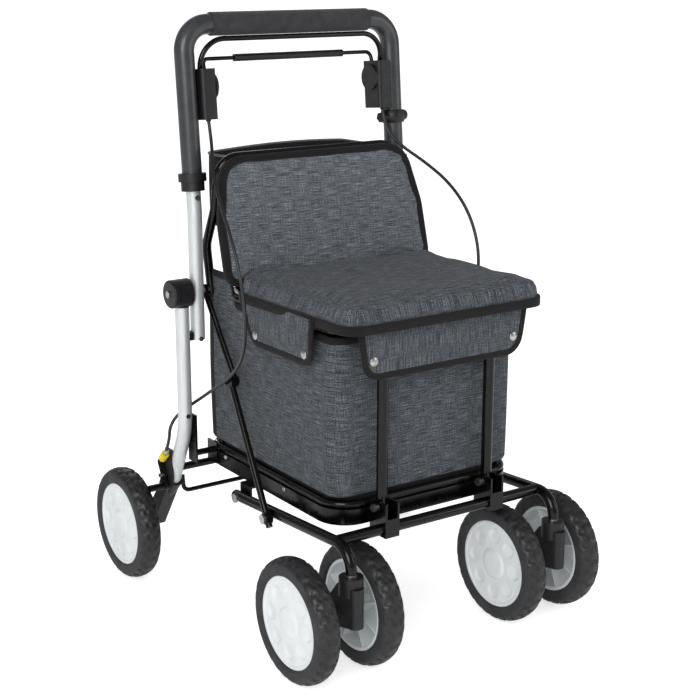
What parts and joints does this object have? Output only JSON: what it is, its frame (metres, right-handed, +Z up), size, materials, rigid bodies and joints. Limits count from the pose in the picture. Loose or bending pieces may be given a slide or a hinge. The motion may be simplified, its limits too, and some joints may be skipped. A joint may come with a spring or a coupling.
{
  "type": "shopping rollator",
  "caption": "Four-corner wheeled walker with a shopping bag under a padded lift-up seat, twin front casters, a folding frame and a U handle with brake levers.",
  "frame": {"origin": "on the floor, midway between the axles and the sides", "axes": "+Z up, +X across to the right seen from the front, -Y the way it travels"},
  "size_m": [0.565, 0.638, 0.8914],
  "materials": {
    "glossy_black": "gloss",
    "satin_silver": "satin",
    "black_plastic": "matte",
    "grip_foam": "matte",
    "rim_plastic": "satin",
    "tyre_rubber": "matte",
    "melange_fabric": "woven",
    "black_fabric": "woven",
    "board_wood": "plain",
    "zinc_steel": "bright",
    "adjuster_yellow": "gloss",
    "cable_sheath": "satin"
  },
  "bodies": {
    "base": {"bag_tray": "glossy_black", "tray_loop": "glossy_black", "side_rails": "glossy_black", "front_cross_tube": "glossy_black", "frame_brackets": "glossy_black", "frame_fasteners": "zinc_steel", "shopping_bag": "melange_fabric"},
    "legs": {"rear_legs": "satin_silver", "rear_cross_tube": "glossy_black", "rear_step_rod": "glossy_black", "leg_brackets": "glossy_black", "leg_bumpers": "black_plastic", "leg_hubs": "black_plastic", "wheel_brackets": "black_plastic", "leg_fasteners": "zinc_steel", "cable_adjusters": "adjuster_yellow", "brake_cables": "cable_sheath"},
    "seat": {"seat_frame": "glossy_black", "hoop_clips": "black_plastic", "seat_pins": "zinc_steel", "handle_stems": "satin_silver", "backrest_frame": "glossy_black", "backrest_pad": "melange_fabric", "rear_pocket": "black_fabric"},
    "lid": {"seat_board": "board_wood", "seat_cushion": "melange_fabric", "lid_flaps": "melange_fabric"},
    "hoop": {"front_hoop": "glossy_black"},
    "handle": {"handle_tube": "glossy_black", "handle_grip": "grip_foam", "handle_collars": "black_plastic", "brake_boxes": "black_plastic", "lever_pins": "zinc_steel"},
    "service_lever": {"service_brake_lever": "glossy_black"},
    "parking_lever": {"parking_bar": "glossy_black", "parking_sleeve": "black_plastic"},
    "rear_wheel_left": {"rear_tyre_left": "tyre_rubber", "rear_rim_left": "rim_plastic"},
    "caster_left": {"caster_fork_left": "black_plastic"},
    "caster_wheel_left_outer": {"caster_tyre_left_outer": "tyre_rubber", "caster_rim_left_outer": "rim_plastic"},
    "caster_wheel_left_inner": {"caster_tyre_left_inner": "tyre_rubber", "caster_rim_left_inner": "rim_plastic"},
    "brake_arm_left": {"brake_arm_left": "glossy_black"},
    "knob_left": {"clamp_knob_left": "black_plastic"},
    "brace_lower_left": {"brace_lower_left": "glossy_black"},
    "brace_upper_left": {"brace_upper_left": "glossy_black"},
    "height_button_left": {"height_button_left": "zinc_steel"},
    "rear_wheel_right": {"rear_tyre_right": "tyre_rubber", "rear_rim_right": "rim_plastic"},
    "caster_right": {"caster_fork_right": "black_plastic"},
    "caster_wheel_right_outer": {"caster_tyre_right_outer": "tyre_rubber", "caster_rim_right_outer": "rim_plastic"},
    "caster_wheel_right_inner": {"caster_tyre_right_inner": "tyre_rubber", "caster_rim_right_inner": "rim_plastic"},
    "brake_arm_right": {"brake_arm_right": "glossy_black"},
    "knob_right": {"clamp_knob_right": "black_plastic"},
    "brace_lower_right": {"brace_lower_right": "glossy_black"},
    "brace_upper_right": {"brace_upper_right": "glossy_black"},
    "height_button_right": {"height_button_right": "zinc_steel"}
  },
  "joints": [
    {"name": "leg_fold", "type": "hinge", "parent": "base", "child": "legs", "pos_m": [0, 0.1225, 0.225], "axis": [1, 0, 0], "range_deg": [0, 75], "deforming": ["shopping_bag", "brake_cables"]},
    {"name": "seat_fold", "type": "hinge", "parent": "legs", "child": "seat", "pos_m": [0, 0.1225, 0.482], "axis": [1, 0, 0], "range_deg": [-75, 0]},
    {"name": "hoop_fold", "type": "hinge", "parent": "base", "child": "hoop", "pos_m": [0, -0.231, 0.228], "axis": [1, 0, 0], "range_deg": [0, 75]},
    {"name": "handle_height", "type": "slide", "parent": "seat", "child": "handle", "axis": [0, 0.0837, 0.9965], "range_m": [0, 0.075]},
    {"name": "lid_open", "type": "hinge", "parent": "seat", "child": "lid", "pos_m": [0, 0.022, 0.524], "axis": [-1, 0, 0], "range_deg": [0, 100]},
    {"name": "service_brake", "type": "hinge", "parent": "handle", "child": "service_lever", "pos_m": [0, 0.13898, 0.79631], "axis": [-1, 0, 0], "range_deg": [0, 6], "stiffness_Nm_per_rad": 3, "springref_deg": -2.86},
    {"name": "parking_brake", "type": "hinge", "parent": "handle", "child": "parking_lever", "pos_m": [0, 0.13898, 0.79631], "axis": [-1, 0, 0], "range_deg": [0, 30]},
    {"name": "rear_spin_left", "type": "hinge", "parent": "legs", "child": "rear_wheel_left", "pos_m": [-0.265, 0.229, 0.09], "axis": [1, 0, 0], "continuous": true},
    {"name": "caster_swivel_left", "type": "hinge", "parent": "base", "child": "caster_left", "pos_m": [-0.182, -0.283, 0.13], "axis": [0, 0, 1], "continuous": true},
    {"name": "caster_spin_left_outer", "type": "hinge", "parent": "caster_left", "child": "caster_wheel_left_outer", "pos_m": [-0.235, -0.229, 0.09], "axis": [1, 0, 0], "continuous": true},
    {"name": "caster_spin_left_inner", "type": "hinge", "parent": "caster_left", "child": "caster_wheel_left_inner", "pos_m": [-0.129, -0.229, 0.09], "axis": [1, 0, 0], "continuous": true},
    {"name": "brake_swing_left", "type": "hinge", "parent": "legs", "child": "brake_arm_left", "pos_m": [-0.228, 0.168, 0.182], "axis": [1, 0, 0], "range_deg": [0, 10]},
    {"name": "knob_turn_left", "type": "hinge", "parent": "legs", "child": "knob_left", "pos_m": [-0.228, 0.1225, 0.482], "axis": [1, 0, 0], "range_deg": [-180, 180]},
    {"name": "brace_foot_left", "type": "hinge", "parent": "base", "child": "brace_lower_left", "pos_m": [-0.195, -0.09, 0.186], "axis": [1, 0, 0], "range_deg": [0, 12]},
    {"name": "brace_knee_left", "type": "hinge", "parent": "brace_lower_left", "child": "brace_upper_left", "pos_m": [-0.172, 0.03431, 0.35916], "axis": [1, 0, 0], "range_deg": [0, 152]},
    {"name": "height_press_left", "type": "slide", "parent": "seat", "child": "height_button_left", "axis": [0, 0.9965, -0.0837], "range_m": [0, 0.002], "stiffness_N_per_m": 800, "springref_m": -0.002},
    {"name": "rear_spin_right", "type": "hinge", "parent": "legs", "child": "rear_wheel_right", "pos_m": [0.265, 0.229, 0.09], "axis": [1, 0, 0], "continuous": true},
    {"name": "caster_swivel_right", "type": "hinge", "parent": "base", "child": "caster_right", "pos_m": [0.182, -0.283, 0.13], "axis": [0, 0, 1], "continuous": true},
    {"name": "caster_spin_right_outer", "type": "hinge", "parent": "caster_right", "child": "caster_wheel_right_outer", "pos_m": [0.235, -0.229, 0.09], "axis": [1, 0, 0], "continuous": true},
    {"name": "caster_spin_right_inner", "type": "hinge", "parent": "caster_right", "child": "caster_wheel_right_inner", "pos_m": [0.129, -0.229, 0.09], "axis": [1, 0, 0], "continuous": true},
    {"name": "brake_swing_right", "type": "hinge", "parent": "legs", "child": "brake_arm_right", "pos_m": [0.228, 0.168, 0.182], "axis": [1, 0, 0], "range_deg": [0, 10]},
    {"name": "knob_turn_right", "type": "hinge", "parent": "legs", "child": "knob_right", "pos_m": [0.228, 0.1225, 0.482], "axis": [1, 0, 0], "range_deg": [-180, 180]},
    {"name": "brace_foot_right", "type": "hinge", "parent": "base", "child": "brace_lower_right", "pos_m": [0.195, -0.09, 0.186], "axis": [1, 0, 0], "range_deg": [0, 12]},
    {"name": "brace_knee_right", "type": "hinge", "parent": "brace_lower_right", "child": "brace_upper_right", "pos_m": [0.172, 0.03431, 0.35916], "axis": [1, 0, 0], "range_deg": [0, 152]},
    {"name": "height_press_right", "type": "slide", "parent": "seat", "child": "height_button_right", "axis": [0, 0.9965, -0.0837], "range_m": [0, 0.002], "stiffness_N_per_m": 800, "springref_m": -0.002}
  ],
  "couplings": [
    {"joint": "seat_fold", "follows": "leg_fold", "ratio": -1},
    {"joint": "hoop_fold", "follows": "leg_fold", "ratio": 1},
    {"joint": "brake_swing_left", "follows": "service_brake", "ratio": 1.65},
    {"joint": "brace_foot_left", "follows": "leg_fold", "ratio": 0.15769},
    {"joint": "brace_knee_left", "follows": "leg_fold", "ratio": 2.0015},
    {"joint": "brake_swing_right", "follows": "service_brake", "ratio": 1.65},
    {"joint": "brace_foot_right", "follows": "leg_fold", "ratio": 0.15769},
    {"joint": "brace_knee_right", "follows": "leg_fold", "ratio": 2.0015}
  ]
}
